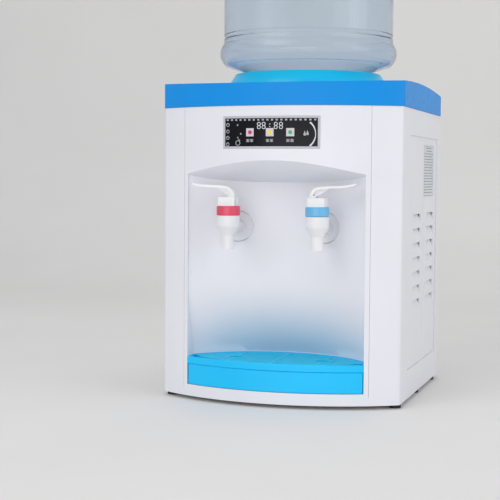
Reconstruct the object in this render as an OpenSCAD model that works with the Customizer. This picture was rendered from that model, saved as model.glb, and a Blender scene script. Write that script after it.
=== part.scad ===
// Countertop water dispenser with a lift-off bottle, two lever taps, a cup recess and a drip tray.
// Millimetres, +Z up, front towards -Y. Origin on the table under the middle of the body.

/* [Body] */
// Width of the body over its side shells
body_w = 302; // [290:1:330]
// Depth of the body from the front of the bow to the back panel
body_d = 311.7; // [306:0.1:330]
// How far the front bows out past the corners
bow_rise = 46.7; // [40:0.1:52]
// Height of the underside of the lid above the table
body_top = 360.7; // [358:0.1:410]
// Plan radius of the two front corners
corner_r = 6; // [6:1:20]
// Plan radius of the two back corners
back_r = 8; // [6:1:14]
// Wall thickness of the moulded shells
wall = 3; // [2.5:0.1:3.5]
// Seam between neighbouring shells
seam = 0.3; // [0.2:0.05:0.5]
// Distance of the front panel seams from the centre
panel_half_w = 117; // [116:1:120]

/* [Base and feet] */
// Height of the rubber feet
foot_h = 5; // [4:0.5:8]
// Radius of each foot
foot_r = 7; // [5:0.5:9]
// Distance of the feet from the centre line
foot_x = 143; // [130:0.5:144]
// Front to back positions of the feet
foot_ys = [-98, 18, 132];
// Height of the base pan rim
base_h = 10; // [9:0.5:14]

/* [Lid] */
// How far the lid overhangs the body all round
lid_overhang = 1; // [0.5:0.1:2]
// Height of the crown of the lid above the table
lid_peak = 393.2; // [390:0.1:430]
// Radius of the front to back crown
lid_crown_r = 1900; // [1500:50:4000]
// Front to back place of the highest line of the crown
lid_peak_y = -8; // [-20:1:10]
// Thickness of the lid top
lid_wall = 3; // [2:0.5:4]
// Depth of the locating rim that drops inside the shells
lid_rim = 6; // [4:0.5:6.5]

/* [Bottle collar] */
// Front to back place of the bottle axis
bottle_y = 14; // [8:1:16]
// Radius of the collar where it meets the lid
collar_base_r = 102.6; // [100:0.1:108]
// Radius of the collar rim
collar_rim_r = 94.6; // [92:0.1:98]
// Height of the collar rim above the table
collar_top = 408; // [404:0.5:420]
// Radius of the hole in the lid
collar_hole_r = 93; // [90:1:96]
// Inside radius of the well that takes the bottle neck
well_r = 34; // [32:0.5:38]
// Height of the floor of the well above the table
well_floor = 341; // [339:0.5:345]

/* [Bottle] */
// Radius of the straight upper part of the bottle
bottle_r = 110; // [104:1:111]
// Radius of the bulge above the collar
bulge_r = 114.5; // [113:0.5:116]
// Height of the middle of the bulge
bulge_z = 435; // [434:1:440]
// Radius of the rounding of the bulge
bulge_round = 20; // [18:1:22]
// Height of the groove above the bulge
groove_z = 455.5; // [454:0.5:462]
// Total height with the bottle in place
bottle_top = 730; // [650:5:800]
// Wall thickness of the bottle
bottle_wall = 1.5; // [1:0.1:2]
// Radius of the bottle neck
neck_r = 26; // [24:0.5:27]
// Height of the mouth of the neck
neck_z = 349; // [348:0.5:352]

/* [Cup recess] */
// Half width of the recess
recess_half_w = 111.5; // [108:0.1:112]
// Distance of the middle of the back wall in front of the body centre
recess_back = 96; // [90:0.5:98]
// Plan radius of the back wall
recess_back_r = 205; // [200:1:240]
// Distance of the middle of the tray pocket's back wall in front of the body centre
cove_back = 52; // [50:0.5:62]
// Plan radius of the back of the tray pocket
cove_plan_r = 137; // [134:0.5:160]
// Height where the tray pocket starts to ease forward
cove_z = 55; // [54.5:0.5:60]
// Height where the tray pocket has run out into the back wall
cove_top = 145; // [130:1:165]
// Radius of the curve from the ceiling up to the front skin
ceiling_r = 104.5; // [100:0.5:112]
// Height of the lowest line of the ceiling
ceiling_low = 269; // [264:0.1:274]
// Distance of that line from the body centre
ceiling_y = 86.1; // [84:0.1:90]
// Height of the recess floor
recess_floor = 19.2; // [18.6:0.1:24]

/* [Drip tray] */
// Height of the top of the tray
tray_top = 54; // [48:0.5:60]
// Thickness of the tray wall
tray_wall = 2.2; // [1.8:0.1:3]
// Depth of the band round the rim
band_h = 9; // [6:0.5:12]
// How far the tray front below the band is set back
band_step = 0.9; // [0.5:0.1:1.5]
// Thickness of the grid
grid_t = 2.6; // [2:0.1:4]
// Spacing of the slots in the grid
slot_pitch = 8; // [6:0.1:10]
// Width of the slots in the grid
slot_w = 4; // [2:0.1:4.5]
// Radius of the drain hole under each tap
cup_hole_r = 8; // [6:0.5:10]
// Radius of the ring round each drain hole
cup_ring_r = 12; // [11:0.5:14]
// Distance of the drain holes from the body centre
cup_hole_y = 107; // [104:1:112]

/* [Display] */
// Width of the display frame
display_w = 120; // [100:1:130]
// Height of the display frame
display_h = 38.5; // [34:0.5:42]
// Height of the middle of the display above the table
display_z = 328.7; // [326:0.1:331]
// Width of the sides of the frame
bezel_w = 2.6; // [2:0.1:4]
// Side of the square light windows
light_w = 9.6; // [7:0.1:11]
// Spacing of the light windows
light_pitch = 24.9; // [20:0.1:28]

/* [Taps] */
// Distance of each tap from the centre
tap_x = 55.5; // [50:0.5:60]
// Distance of the tap axis in front of the body centre
tap_y = 142; // [136:1:144]
// Height of the shank axis
shank_z = 215; // [212:0.5:220]
// Radius of the barrel at its top
barrel_r = 14; // [13.5:0.1:15]
// Radius of the spout
spout_r = 7.3; // [7:0.1:7.8]
// Height of the end of the spout
spout_z = 189; // [184:0.1:192]
// Height of the shoulder under the ring
ring_z = 229.5; // [228:0.1:232]
// Height of the coloured ring
ring_h = 11.3; // [10:0.1:13]
// Height of the cap above the ring
cap_h = 10.8; // [10:0.1:13]
// Width of the cap
cap_w = 22; // [21:0.5:24]
// Angle the lever swings down when pressed
lever_press = 18; // [10:1:18]
// Distance from the tap axis to the lever tip
lever_reach = 47.5; // [40:0.5:50]
// Width of the lever at its tip
lever_w = 13; // [10:0.5:15]
// Thickness of the lever
lever_t = 3.2; // [2.6:0.1:3.6]
// Radius of the flat boss behind each tap
boss_r = 18.5; // [16:0.5:20]

/* [Side vents] */
// Number of louvres in a column
louvre_rows = 7; // [3:1:8]
// Spacing of the rows
louvre_pitch = 18; // [15:0.5:20]
// Height of the middle of the lowest row
louvre_z = 117; // [90:1:130]
// Length of a louvre
louvre_l = 52; // [40:1:54]
// Height of a louvre
louvre_h = 11; // [7:0.5:11]
// Front to back places of the two columns
louvre_ys = [-9, 84];
// Depth of the shallow field round the vents
field_depth = 1; // [0.6:0.1:1.2]
// Width of the rating label
label_w = 70; // [50:1:76]
// Height of the rating label
label_h = 68; // [40:1:74]

/* [Water parts] */
// Radius of the room temperature reservoir
reservoir_r = 78; // [70:1:78]
// Height of the underside of the reservoir
reservoir_z = 238; // [234:1:246]
// Radius of the hot tank
tank_r = 45; // [35:1:48]
// Height of the underside of the hot tank
tank_z = 92; // [80:1:100]
// Height of the hot tank
tank_h = 96; // [80:1:100]
// Front to back place of the hot tank
tank_y = 50; // [40:1:60]
// Outside radius of the hoses
hose_r = 5; // [4:0.5:6]
// Height of the drain above the table
drain_z = 42; // [40:1:60]

/* [Back] */
// Sideways place of the heater switch
switch_x = 80; // [60:1:90]
// Height of the heater switch
switch_z = 90; // [80:1:140]
// Angle the rocker turns from one side to the other
rocker_swing = 16; // [10:1:20]
// Sideways place of the cord gland
gland_x = -80; // [-95:1:-60]
// Height of the cord gland
gland_z = 45; // [40:1:60]
// Bore of the cord gland
gland_bore_r = 4; // [3:0.1:5]

/* [Hidden] */
$fn = 96;
// Steps along the bow, round a corner and along the walls of the recess
bow_steps = 40;
corner_steps = 8;
recess_steps = 32;
cove_steps = 8;
// Overrun of a cutting shape past the face it cuts
over = 1;
// Clearance of a part that slides or lifts out
slide_gap = 0.35;
// Clearance of a pin in its hole
pin_gap = 0.05;
// Clearance of a fixed fit
fit_gap = 0.1;

half_w = body_w / 2;
half_d = body_d / 2;
bow_r = (half_w * half_w + bow_rise * bow_rise) / (2 * bow_rise);
bow_cy = bow_r - half_d;
corner_x = half_w - corner_r;
corner_y = bow_cy - sqrt(pow(bow_r - corner_r, 2) - corner_x * corner_x);
corner_a = atan2(bow_cy - corner_y, corner_x);
base_top = foot_h + base_h;
shell_z = base_top;
shell_top = body_top - seam;
shell_h = shell_top - shell_z;
crown_z = lid_peak - lid_crown_r;

// Points on an arc, ends included
function arc(cx, cy, r, a0, a1, n) = [
    for (i = [0 : n])
        let (a = a0 + (a1 - a0) * i / n)
        [cx + r * cos(a), cy + r * sin(a)]
];

// Body outline set in by a distance
function plan_points(inset) = concat(
    arc(half_w - back_r, half_d - back_r, back_r - inset, 0, 90, corner_steps),
    arc(back_r - half_w, half_d - back_r, back_r - inset, 90, 180, corner_steps),
    arc(-corner_x, corner_y, corner_r - inset, 180, 180 + corner_a, corner_steps),
    arc(0, bow_cy, bow_r - inset, 180 + corner_a, 360 - corner_a, bow_steps),
    arc(corner_x, corner_y, corner_r - inset, 360 - corner_a, 360, corner_steps)
);

cove_cy = -cove_back - cove_plan_r;

// Rows of the recess from z0 up: height, and the share of the way back into the tray pocket
function recess_rows(z0) = concat(
    [[z0, 1]],
    [
        for (i = [0 : cove_steps])
            let (t = i / cove_steps)
            [cove_z + t * (cove_top - cove_z), pow(1 - t, 2)]
    ],
    [[ceiling_low + ceiling_r, 0]]
);

// Outline of the recess at height z, grown by a distance and run out well past the front
function recess_row(grow, z, share) =
    let (
        x = recess_half_w + grow,
        r = recess_back_r + share * (cove_plan_r - recess_back_r) + grow,
        cy = grow - recess_back + share * (recess_back - cove_back) - r,
        edge_a = asin(x / (cove_plan_r + grow))
    )
    concat(
        [
            for (i = [0 : recess_steps])
                let (u = (cove_plan_r + grow) * sin(edge_a * (1 - 2 * i / recess_steps)))
                [u, cy + sqrt(r * r - u * u), z]
        ],
        [[-x, -body_d, z], [x, -body_d, z]]
    );

// Solid with the body outline
module plan_block(inset, z0, z1) {
    translate([0, 0, z0])
        linear_extrude(z1 - z0)
            polygon(plan_points(inset));
}

// Solid under the crown of the lid, dropped by a distance
module under_crown(drop, z0) {
    intersection() {
        translate([0, lid_peak_y, crown_z])
            rotate([0, 90, 0])
                cylinder(r = lid_crown_r - drop, h = 2 * body_w, center = true, $fn = 720);
        translate([-body_w, -body_d, z0])
            cube([2 * body_w, 2 * body_d, lid_peak]);
    }
}

// Cylinder lying front to back, starting at y and running backwards
module y_cylinder(x, y, z, r, l) {
    translate([x, y, z])
        rotate([-90, 0, 0])
            cylinder(r = r, h = l);
}

// Hollow cylinder standing up
module ring(r_out, r_in, z0, z1) {
    translate([0, 0, z0])
        difference() {
            cylinder(r = r_out, h = z1 - z0);
            translate([0, 0, -over])
                cylinder(r = r_in, h = z1 - z0 + 2 * over);
        }
}

// ---------------------------------------------------------------- base

base_floor_t = 3;
pan_slot_l = 60;
pan_slot_w = 5;
pan_slot_pitch = 14;
pan_slots = 5;
foot_plug_r = 3;
foot_plug_h = base_floor_t + 1;
// Base screws hold the side shells from below
post_r = 5;
base_screw_ys = [-60, 60, 120];
base_screw_x = half_w - wall - post_r + 1.5;
screw_shank_r = 1.9;
screw_head_r = 3.8;
screw_head_h = 2;
post_h = 24;

module at_base_screws() {
    for (side = [-1, 1])
        for (y = base_screw_ys)
            translate([side * base_screw_x, y, 0])
                children();
}

module base_pan() {
    color([0.93, 0.94, 0.96])
    difference() {
        union() {
            difference() {
                plan_block(0, foot_h, base_top);
                plan_block(wall, foot_h + base_floor_t, base_top + over);
            }
            intersection() {
                plan_block(wall / 2, foot_h, base_top);
                at_base_screws()
                    translate([0, 0, foot_h + 1])
                        cylinder(r = post_r, h = base_h - 1);
            }
        }
        for (side = [-1, 1])
            for (y = foot_ys)
                translate([side * foot_x, y, foot_h - over])
                    cylinder(r = foot_plug_r + fit_gap, h = base_floor_t + 2 * over);
        at_base_screws() {
            translate([0, 0, foot_h - over])
                cylinder(r = screw_shank_r + fit_gap, h = base_h + 2 * over);
            translate([0, 0, foot_h - over])
                cylinder(r = screw_head_r + fit_gap, h = screw_head_h + 2 * over);
        }
        for (i = [0 : pan_slots - 1])
            translate([-pan_slot_l / 2, tank_y + (i - (pan_slots - 1) / 2) * pan_slot_pitch, foot_h - over])
                cube([pan_slot_l, pan_slot_w, base_floor_t + 2 * over]);
        at_bracket_feet()
            translate([0, 0, foot_h - over])
                cylinder(r = screw_shank_r + fit_gap, h = base_h);
    }
}

module rubber_feet() {
    color([0.06, 0.06, 0.07])
    for (side = [-1, 1])
        for (y = foot_ys)
            translate([side * foot_x, y, 0]) {
                cylinder(r = foot_r, h = foot_h);
                cylinder(r = foot_plug_r, h = foot_h + foot_plug_h);
            }
}

module base_screws() {
    color([0.7, 0.7, 0.72])
    at_base_screws()
        translate([0, 0, foot_h + 1]) {
            cylinder(r = screw_head_r, h = screw_head_h);
            cylinder(r = screw_shank_r, h = post_h);
        }
}

// ---------------------------------------------------------------- front panel

// Flat bosses behind the taps
boss_face = 104;
boss_t = 12;
boss_back = boss_face - boss_t;
// Gap round a boss, and how far the wall may lie in front of it
boss_rim = 0.7;
boss_groove = 4;
boss_sink = 8;
shank_r = 7.8;
// Turned-in edges beside the seams reach back to this distance in front of the body centre
turn_in_y = 118;

// Solid inside the recess, grown by a distance, from z0 up to the curved ceiling
module recess_block(grow, z0) {
    rows = recess_rows(z0);
    top = len(rows) - 1;
    n = recess_steps + 3;
    difference() {
        polyhedron(
            points = [for (row = rows) each recess_row(grow, row[0], row[1])],
            faces = concat(
                [[for (i = [0 : n - 1]) i]],
                [[for (i = [n - 1 : -1 : 0]) top * n + i]],
                [for (k = [0 : top - 1], i = [0 : n - 1]) [k * n + i, (k + 1) * n + i, (k + 1) * n + (i + 1) % n]],
                [for (k = [0 : top - 1], i = [0 : n - 1]) [k * n + i, (k + 1) * n + (i + 1) % n, k * n + (i + 1) % n]]
            )
        );
        translate([0, -ceiling_y, ceiling_low + ceiling_r])
            rotate([0, 90, 0])
                cylinder(r = ceiling_r - grow, h = 2 * body_w, center = true, $fn = 180);
    }
}

// Strip of the bowed front between two depths below the skin
module bow_strip(out, depth, w, z0, z1) {
    translate([0, 0, z0])
        linear_extrude(z1 - z0)
            intersection() {
                translate([0, bow_cy])
                    difference() {
                        circle(r = bow_r + out, $fn = 360);
                        circle(r = bow_r - depth, $fn = 360);
                    }
                translate([-w / 2, -body_d])
                    square([w, body_d]);
            }
}

module bow_block(out, z0, z1) {
    translate([0, bow_cy, z0])
        cylinder(r = bow_r + out, h = z1 - z0, $fn = 360);
}

module front_panel() {
    panel_w = 2 * panel_half_w - seam;
    color([0.94, 0.95, 0.97])
    difference() {
        union() {
            bow_strip(0, wall, panel_w, shell_z, shell_top);
            // turned-in edges along the two seams
            intersection() {
                bow_block(-wall / 2, shell_z, shell_top - lid_rim - over);
                for (side = [-1, 1])
                    translate([side * (panel_w - wall) / 2 - wall / 2, -body_d, shell_z])
                        cube([wall, body_d - turn_in_y, body_top]);
            }
            // walls, ceiling and floor of the cup recess
            intersection() {
                bow_block(-wall / 2, shell_z, body_top);
                recess_block(wall, shell_z);
            }
            for (side = [-1, 1])
                y_cylinder(side * tap_x, -boss_face - boss_sink, shank_z, boss_r + wall, boss_t + boss_sink);
        }
        difference() {
            recess_block(0, recess_floor);
            for (side = [-1, 1])
                y_cylinder(side * tap_x, -boss_face, shank_z, boss_r, boss_face);
        }
        // each boss stands in a shallow round pocket with a narrow gap round it
        for (side = [-1, 1]) {
            y_cylinder(side * tap_x, -body_d, shank_z, boss_r + boss_rim, body_d - boss_face);
            translate([side * tap_x, -boss_face, shank_z])
                rotate([-90, 0, 0])
                    ring(boss_r + boss_rim, boss_r, 0, boss_groove);
        }
        for (side = [-1, 1])
            y_cylinder(side * tap_x, -boss_face - over, shank_z, shank_r + fit_gap, boss_face);
        translate([0, 0, display_z])
            cube([display_w + 2 * fit_gap, 2 * body_d, display_h + 2 * fit_gap], center = true);
    }
}

// ---------------------------------------------------------------- display

bezel_out = 0.4;
bezel_depth = 5;
window_sink = 0.5;
window_t = 2;
light_depth = 6;
board_gap = 9;
board_t = 1.6;
board_w = display_w - 8;
board_y = -half_d + board_gap + bezel_depth;
pillar_r = 2;
pillar_x = board_w / 2 - 4;
pillar_z = 10;
// The pillars start this far behind the back of the frame
pillar_in = 4.4;

module display_bezel() {
    color([0.65, 0.66, 0.69])
    difference() {
        bow_strip(bezel_out, bezel_depth, display_w, display_z - display_h / 2, display_z + display_h / 2);
        translate([0, 0, display_z])
            cube([display_w - 2 * bezel_w, 2 * body_d, display_h - 2 * bezel_w], center = true);
    }
}

module at_lights(i) {
    translate([i * light_pitch, 0, display_z])
        children();
}

module display_window() {
    w = display_w - 2 * bezel_w - 2 * fit_gap;
    h = display_h - 2 * bezel_w - 2 * fit_gap;
    color([0.05, 0.05, 0.07])
    difference() {
        bow_strip(-window_sink, window_sink + window_t, w, display_z - h / 2, display_z + h / 2);
        for (i = [-1 : 1])
            at_lights(i)
                cube([light_w + 2 * fit_gap, 2 * body_d, light_w + 2 * fit_gap], center = true);
    }
}

module light_window(i) {
    intersection() {
        bow_strip(-window_sink + 0.1, light_depth, display_w, display_z - light_w, display_z + light_w);
        at_lights(i)
            cube([light_w, 2 * body_d, light_w], center = true);
    }
}

module light_red() {
    color([0.78, 0.2, 0.35])
    light_window(-1);
}

module light_yellow() {
    color([0.9, 0.84, 0.24])
    light_window(0);
}

module light_green() {
    color([0.2, 0.7, 0.4])
    light_window(1);
}

module display_board() {
    color([0.1, 0.35, 0.2])
    translate([-board_w / 2, board_y, display_z - display_h / 2 + bezel_w])
        cube([board_w, board_t, display_h - 2 * bezel_w]);
    color([0.1, 0.35, 0.2])
    for (x = [-1, 1])
        for (z = [-1, 1])
            y_cylinder(x * pillar_x, board_y - board_gap + pillar_in, display_z + z * pillar_z, pillar_r,
                board_gap - pillar_in);
}

digits_w = 34;
digits_h = 9;
digits_t = 6;

module digit_display() {
    color([0.12, 0.12, 0.13])
    translate([-digits_w / 2, board_y - digits_t, display_z + light_w / 2 + seam])
        cube([digits_w, digits_t - fit_gap, digits_h]);
}

// ---------------------------------------------------------------- side shells

field_y0 = -64;
field_y1 = 129;
field_z0 = 40;
field_z1 = 328;
groove_w = 1.6;
groove_y = 34;
groove_cut = 0.8;
groove_z0 = 42;
groove_z1 = 319;
blade_t = 1.3;
blade_reach = 5;
// The blade runs on above the opening, behind the wall
blade_lap = 2;
shell_back_x = 22;
lip_depth = 10;
rear_screw_zs = [50, 190, 330];
rear_screw_x = half_w - shell_back_x - 7;
label_t = 0.2;
label_top = 319;

// Louvre opening and blade on the right-hand wall, centred on y and z
module louvre_opening(y, z) {
    translate([half_w - 2 * wall, y - louvre_l / 2, z - louvre_h / 2])
        cube([3 * wall, louvre_l, louvre_h]);
}

module louvre_blade(y, z) {
    face = half_w - field_depth;
    translate([0, y + louvre_l / 2 + blade_t / 2, z - louvre_h / 2])
        rotate([90, 0, 0])
            linear_extrude(louvre_l + blade_t)
                polygon([
                    [face, -blade_t / 2],
                    [face, blade_t / 2],
                    [face - blade_reach, louvre_h + blade_lap],
                    [face - blade_reach, louvre_h + blade_lap - 1.5 * blade_t]
                ]);
}

module shell_right() {
    difference() {
        union() {
            difference() {
                plan_block(0, shell_z, shell_top);
                plan_block(wall, shell_z - over, shell_top + over);
                translate([-body_w, -body_d, 0])
                    cube([body_w + panel_half_w + seam / 2, body_d + half_d - back_r - over, 2 * body_top]);
                translate([-body_w, 0, 0])
                    cube([body_w + half_w - shell_back_x, body_d, 2 * body_top]);
            }
            // turned-in front edge beside the front panel
            intersection() {
                plan_block(wall / 2, shell_z, shell_top - lid_rim - over);
                translate([panel_half_w + seam / 2, -half_d, shell_z])
                    cube([wall, half_d - turn_in_y, body_top]);
            }
            // flange that backs the rear panel
            translate([rear_screw_x - 7, half_d - 2 * wall - seam, shell_z])
                cube([shell_back_x + 14 - wall / 2 - 8, wall, shell_h - lid_rim - over]);
            translate([half_w - shell_back_x + seam, half_d - 2 * wall - seam, shell_z])
                cube([shell_back_x - back_r, 2 * wall, shell_h - lid_rim - over]);
            // posts over the base screws
            intersection() {
                plan_block(wall / 2, shell_z, shell_z + post_h);
                for (y = base_screw_ys)
                    translate([base_screw_x, y, shell_z])
                        cylinder(r = post_r, h = post_h);
            }
        }
        translate([half_w - field_depth, field_y0, field_z0])
            cube([field_depth + over, field_y1 - field_y0, field_z1 - field_z0]);
        translate([half_w - field_depth - groove_cut, groove_y - groove_w / 2, groove_z0])
            cube([groove_cut + over, groove_w, groove_z1 - groove_z0]);
        // groove round the edge of the field
        difference() {
            translate([half_w - field_depth - groove_cut, field_y0, field_z0])
                cube([groove_cut + over, field_y1 - field_y0, field_z1 - field_z0]);
            translate([half_w - wall, field_y0 + groove_w, field_z0 + groove_w])
                cube([2 * wall, field_y1 - field_y0 - 2 * groove_w, field_z1 - field_z0 - 2 * groove_w]);
        }
        for (y = louvre_ys)
            for (i = [0 : louvre_rows - 1])
                louvre_opening(y, louvre_z + i * louvre_pitch);
        for (y = base_screw_ys)
            translate([base_screw_x, y, shell_z - over])
                cylinder(r = screw_shank_r + fit_gap, h = post_h);
        for (z = rear_screw_zs)
            y_cylinder(rear_screw_x, half_d - 4 * wall, z, screw_shank_r + fit_gap, 4 * wall);
    }
    for (y = louvre_ys)
        for (i = [0 : louvre_rows - 1])
            louvre_blade(y, louvre_z + i * louvre_pitch);
}

module side_shell_right() {
    color([0.94, 0.95, 0.97])
    shell_right();
}

module side_shell_left() {
    color([0.94, 0.95, 0.97])
    mirror([1, 0, 0])
        shell_right();
}

module rating_label() {
    color([0.86, 0.87, 0.9])
    translate([half_w - field_depth, groove_y + groove_w, label_top - label_h])
        cube([label_t, label_w, label_h]);
}

// ---------------------------------------------------------------- rear panel

panel_y = half_d - wall;
rear_slots = 9;
rear_slot_pitch = 10;
rear_slot_l = 90;
rear_slot_w = 4;
rear_slot_z = 200;
switch_w = 14;
switch_h = 26;
gland_r = 7.5;
gland_l = 16;
spigot_r = 9;

module rear_panel() {
    color([0.93, 0.94, 0.96])
    difference() {
        union() {
            translate([shell_back_x - half_w + seam, panel_y, shell_z])
                cube([body_w - 2 * shell_back_x - 2 * seam, wall, shell_h]);
            y_cylinder(0, pocket_y - wall, drain_z, pocket_r + wall, pocket_d);
        }
        y_cylinder(0, pocket_y, drain_z, pocket_r, pocket_d + over);
        for (i = [0 : rear_slots - 1])
            translate([-rear_slot_l / 2, panel_y - over, rear_slot_z + i * rear_slot_pitch])
                cube([rear_slot_l, wall + 2 * over, rear_slot_w]);
        translate([switch_x - switch_w / 2 - fit_gap, panel_y - over, switch_z - switch_h / 2 - fit_gap])
            cube([switch_w + 2 * fit_gap, wall + 2 * over, switch_h + 2 * fit_gap]);
        y_cylinder(gland_x, panel_y - over, gland_z, gland_r + fit_gap, wall + 2 * over);
        y_cylinder(0, pocket_y - wall - over, drain_z, spigot_r + fit_gap, wall + 2 * over);
        for (side = [-1, 1])
            for (z = rear_screw_zs) {
                y_cylinder(side * rear_screw_x, panel_y - over, z, screw_shank_r + fit_gap, wall + 2 * over);
                y_cylinder(side * rear_screw_x, half_d - screw_head_h, z, screw_head_r + fit_gap, 2 * over + wall);
            }
    }
}

module rear_screws() {
    color([0.7, 0.7, 0.72])
    for (side = [-1, 1])
        for (z = rear_screw_zs) {
            y_cylinder(side * rear_screw_x, half_d - screw_head_h, z, screw_head_r, screw_head_h - seam);
            y_cylinder(side * rear_screw_x, half_d - 4 * wall, z, screw_shank_r, 4 * wall - 1);
        }
}

// ---------------------------------------------------------------- lid and collar

lid_skirt = wall + seam;
lid_inner = lid_skirt + 2;

module top_lid() {
    color([0, 0.53, 0.86])
    difference() {
        union() {
            intersection() {
                plan_block(-lid_overhang, body_top, lid_peak + over);
                under_crown(0, body_top - over);
            }
            plan_block(lid_skirt, body_top - lid_rim, body_top + over);
        }
        intersection() {
            plan_block(lid_inner, body_top - lid_rim - over, lid_peak);
            under_crown(lid_wall, body_top - 2 * lid_rim);
        }
        translate([0, bottle_y, body_top])
            cylinder(r = collar_hole_r, h = lid_peak);
    }
}

collar_wall = 3;
funnel_z = 388;
funnel_r = well_r + 4;
collar_skirt_z = 378;
probe_r = 9.5;

module bottle_collar() {
    color([0.1, 0.6, 0.88])
    difference() {
        translate([0, bottle_y, 0])
            rotate_extrude($fn = 180)
                polygon([
                    [probe_r + fit_gap, well_floor],
                    [well_r, well_floor],
                    [well_r, funnel_z - 2],
                    [funnel_r, funnel_z],
                    [collar_rim_r - collar_wall - 0.6, collar_top - 1.5],
                    [collar_rim_r - collar_wall + 0.6, collar_top],
                    [collar_rim_r - 0.6, collar_top],
                    [collar_rim_r, collar_top - 0.8],
                    [collar_base_r, lid_peak + 1.6],
                    [collar_base_r, lid_peak - 10],
                    [collar_hole_r - fit_gap, lid_peak - 10],
                    [collar_hole_r - fit_gap, collar_skirt_z],
                    [collar_hole_r - collar_wall, collar_skirt_z],
                    [collar_hole_r - collar_wall, collar_top - 8],
                    [well_r + collar_wall + 2, funnel_z - 4],
                    [well_r + collar_wall, funnel_z - 6],
                    [well_r + collar_wall, well_floor - collar_wall],
                    [probe_r + fit_gap, well_floor - collar_wall]
                ]);
        // the foot of the collar follows the crown of the lid
        difference() {
            under_crown(-0.05, body_top);
            translate([0, bottle_y, 0])
                cylinder(r = collar_hole_r, h = 2 * lid_peak);
        }
    }
}

// ---------------------------------------------------------------- bottle

// Radius of the shallow groove
groove_round = 2.5;

// Half outline of the bottle set in by a distance, from the mouth to the middle of its end
function bottle_points(inset) = concat(
    [[neck_r - inset, neck_z]],
    arc(neck_r + 8, funnel_z - 1, 8 + inset, 180, 120, 6),
    arc(bulge_r - bulge_round, bulge_z, bulge_round - inset, -52, acos((bottle_r - bulge_r + bulge_round) / bulge_round), 14),
    arc(bottle_r + 1, groove_z, groove_round + inset, 235, 125, 4),
    arc(bottle_r - 12, bottle_top - 26, 12 - inset, 0, 60, 6),
    arc(bottle_r - 30, bottle_top - 30, 30 - inset, 40, 90, 6),
    [[0, bottle_top - inset]]
);

module bottle() {
    color([0.72, 0.83, 0.9, 0.35])
    translate([0, bottle_y, 0])
        rotate_extrude($fn = 180)
            polygon(concat(
                bottle_points(0),
                [for (i = [0 : len(bottle_points(bottle_wall)) - 1])
                    bottle_points(bottle_wall)[len(bottle_points(bottle_wall)) - 1 - i]]
            ));
}

cap_skirt_h = 14;
cap_t = 1.6;

module bottle_cap() {
    color([0.85, 0.93, 0.98])
    translate([0, bottle_y, 0]) {
        ring(neck_r + fit_gap + cap_t, neck_r + fit_gap, neck_z - cap_t - fit_gap, neck_z + cap_skirt_h);
        ring(neck_r + fit_gap + cap_t, probe_r + slide_gap, neck_z - cap_t - fit_gap, neck_z - fit_gap);
        ring(probe_r + slide_gap + cap_t, probe_r + slide_gap, neck_z - cap_t - fit_gap, neck_z + 2 * cap_skirt_h);
    }
}

probe_bore_r = 6.5;
probe_top = 386;
probe_window_w = 6;
probe_window_h = 12;

module feed_probe() {
    color([0.92, 0.93, 0.94])
    translate([0, bottle_y, 0])
        difference() {
            union() {
                translate([0, 0, reservoir_top - 12])
                    cylinder(r = probe_r, h = probe_top - reservoir_top + 12);
                translate([0, 0, probe_top])
                    cylinder(r1 = probe_r, r2 = 3, h = 8);
                ring(probe_r + 8, probe_r - 1, well_floor - collar_wall - fit_gap - 3, well_floor - collar_wall - fit_gap);
            }
            translate([0, 0, reservoir_top - 12 - over])
                cylinder(r = probe_bore_r, h = probe_top - reservoir_top + 12);
            for (a = [0, 90])
                rotate([0, 0, a])
                    translate([-2 * probe_r, -probe_window_w / 2, probe_top - probe_window_h - 2])
                        cube([4 * probe_r, probe_window_w, probe_window_h]);
        }
}

// ---------------------------------------------------------------- drip tray

tray_z = recess_floor + slide_gap;
tray_floor_t = 2.5;
ledge_w = 2;
grid_gap = 0.35;
// How far the grid lies below the rim
grid_sink = 1.4;
grid_z = tray_top - grid_sink - grid_t;
// Front edge of the grid, curved more than the bow
grid_front_r = 157;
grid_border = 4;
rib_w = 3;
ring_w = 2;
ring_rise = 0.8;
rib_rise = 0.5;
slot_rows = 14;
slot_y0 = -half_d + 10;

// Tray outline, set in by a distance at the front and by another at the sides and back
module tray_plan(front, rest) {
    side_x = recess_half_w - slide_gap - rest;
    intersection() {
        translate([0, bow_cy])
            circle(r = bow_r - front, $fn = 360);
        translate([0, cove_cy])
            circle(r = cove_plan_r - slide_gap - rest, $fn = 360);
        translate([-side_x, -body_d])
            square([2 * side_x, body_d]);
    }
}

module drip_tray() {
    ledge_in = band_step + tray_wall + ledge_w;
    color([0.17, 0.7, 0.91])
    difference() {
        union() {
            translate([0, 0, tray_z])
                linear_extrude(tray_top - band_h - tray_z)
                    tray_plan(band_step, band_step);
            translate([0, 0, tray_top - band_h])
                linear_extrude(band_h)
                    tray_plan(0, 0);
        }
        translate([0, 0, tray_z + tray_floor_t])
            linear_extrude(tray_top)
                tray_plan(ledge_in, ledge_in);
        translate([0, 0, grid_z - grid_gap])
            linear_extrude(tray_top)
                tray_plan(tray_wall, tray_wall);
    }
}

// Grid outline set in by a distance
module grid_plan(inset) {
    edge = tray_wall + grid_gap;
    intersection() {
        tray_plan(edge, edge + inset);
        translate([0, grid_front_r - half_d + edge + 0.5])
            circle(r = grid_front_r - inset, $fn = 360);
    }
}

// Everything between the slots of the grid
module grid_bars() {
    for (x = [-tap_x, 0, tap_x])
        translate([x - rib_w / 2, -body_d])
            square([rib_w, body_d]);
    for (side = [-1, 1])
        translate([side * tap_x, -cup_hole_y])
            circle(r = cup_ring_r);
}

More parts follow.
